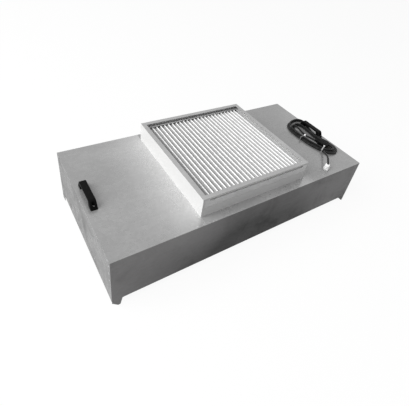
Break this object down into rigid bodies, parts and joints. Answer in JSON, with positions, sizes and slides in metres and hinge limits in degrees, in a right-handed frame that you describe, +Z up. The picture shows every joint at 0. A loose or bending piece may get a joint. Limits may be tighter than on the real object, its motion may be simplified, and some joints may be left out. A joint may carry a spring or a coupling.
{
  "type": "fan filter unit",
  "caption": "Ceiling fan filter unit: sheet-metal casing with backward-curved fan, slide-in pleated prefilter on top, HEPA filter below, carrying handles and a coiled power cord.",
  "frame": {"origin": "on the floor under the middle of the casing, measured without the cord", "axes": "+X along the long side, +Y from the prefilter slot to the back, +Z up"},
  "size_m": [1.1766, 0.575, 0.32],
  "materials": {
    "black_plastic": "moulded, fine grain",
    "brass_pin": "nickel-brushed brass",
    "bright_steel": "ground steel",
    "casing_sheet": "spangle-free aluminium-zinc coated sheet, satin",
    "cast_aluminium": "die cast, rough",
    "cord_rubber": "black cord sheath, satin",
    "fan_aluminium": "riveted and welded aluminium sheet",
    "filter_fleece": "white pleated synthetic fleece",
    "filter_frame": "folded aluminium, satin",
    "gasket_foam": "closed-cell foam",
    "guard_paint": "white powder coat",
    "hepa_paper": "white pleated glass-fibre paper",
    "hepa_profile": "extruded aluminium, satin",
    "housing_paint": "pale painted sheet, satin",
    "liner_foam": "open-cell sound foam",
    "motor_paint": "black paint",
    "white_nylon": "natural nylon, satin",
    "zinc_steel": "zinc plated, satin"
  },
  "bodies": {
    "casing": {"back_liner": "liner_foam", "back_panel": "casing_sheet", "bracket_screws": "zinc_steel", "cable_tie_1": "white_nylon", "cable_tie_2": "white_nylon", "capacitor": "cast_aluminium", "capacitor_clip": "zinc_steel", "cord_hank": "cord_rubber", "fan_hanger_screws": "zinc_steel", "fan_standoffs": "zinc_steel", "front_liner": "liner_foam", "front_panel": "casing_sheet", "gland_body": "white_nylon", "gland_dome": "white_nylon", "gland_nut": "white_nylon", "handle_nuts": "zinc_steel", "handle_screws": "zinc_steel", "hepa_face_guard": "guard_paint", "hepa_frame": "hepa_profile", "hepa_gasket": "gasket_foam", "hepa_media": "hepa_paper", "inlet_ring": "casing_sheet", "inlet_screws": "zinc_steel", "left_end_fasteners": "zinc_steel", "left_end_panel": "casing_sheet", "left_guide_rail": "filter_frame", "left_handle": "black_plastic", "left_liner": "liner_foam", "motor_bearings": "bright_steel", "motor_bracket": "casing_sheet", "motor_stator": "cast_aluminium", "plug_body": "black_plastic", "plug_pins": "brass_pin", "power_cord": "cord_rubber", "prefilter_housing": "housing_paint", "prefilter_rim": "casing_sheet", "right_end_fasteners": "zinc_steel", "right_end_panel": "casing_sheet", "right_guide_rail": "filter_frame", "right_handle": "black_plastic", "right_liner": "liner_foam", "seal_ledge": "casing_sheet", "stator_screws": "zinc_steel", "terminal_block": "black_plastic", "terminal_box": "white_nylon", "top_panel": "casing_sheet"},
    "rotor": {"impeller": "fan_aluminium", "rotor_shell": "motor_paint", "motor_shaft": "bright_steel", "shaft_clip": "bright_steel", "impeller_screws": "zinc_steel"},
    "prefilter": {"prefilter_frame": "filter_frame", "prefilter_media": "filter_fleece"}
  },
  "joints": [
    {"name": "fan_spin", "type": "hinge", "parent": "casing", "child": "rotor", "pos_m": [0, 0, 0.17], "axis": [0, 0, 1], "continuous": true},
    {"name": "prefilter_slide", "type": "slide", "parent": "casing", "child": "prefilter", "axis": [0, -1, 0], "range_m": [0, 0.46]}
  ]
}
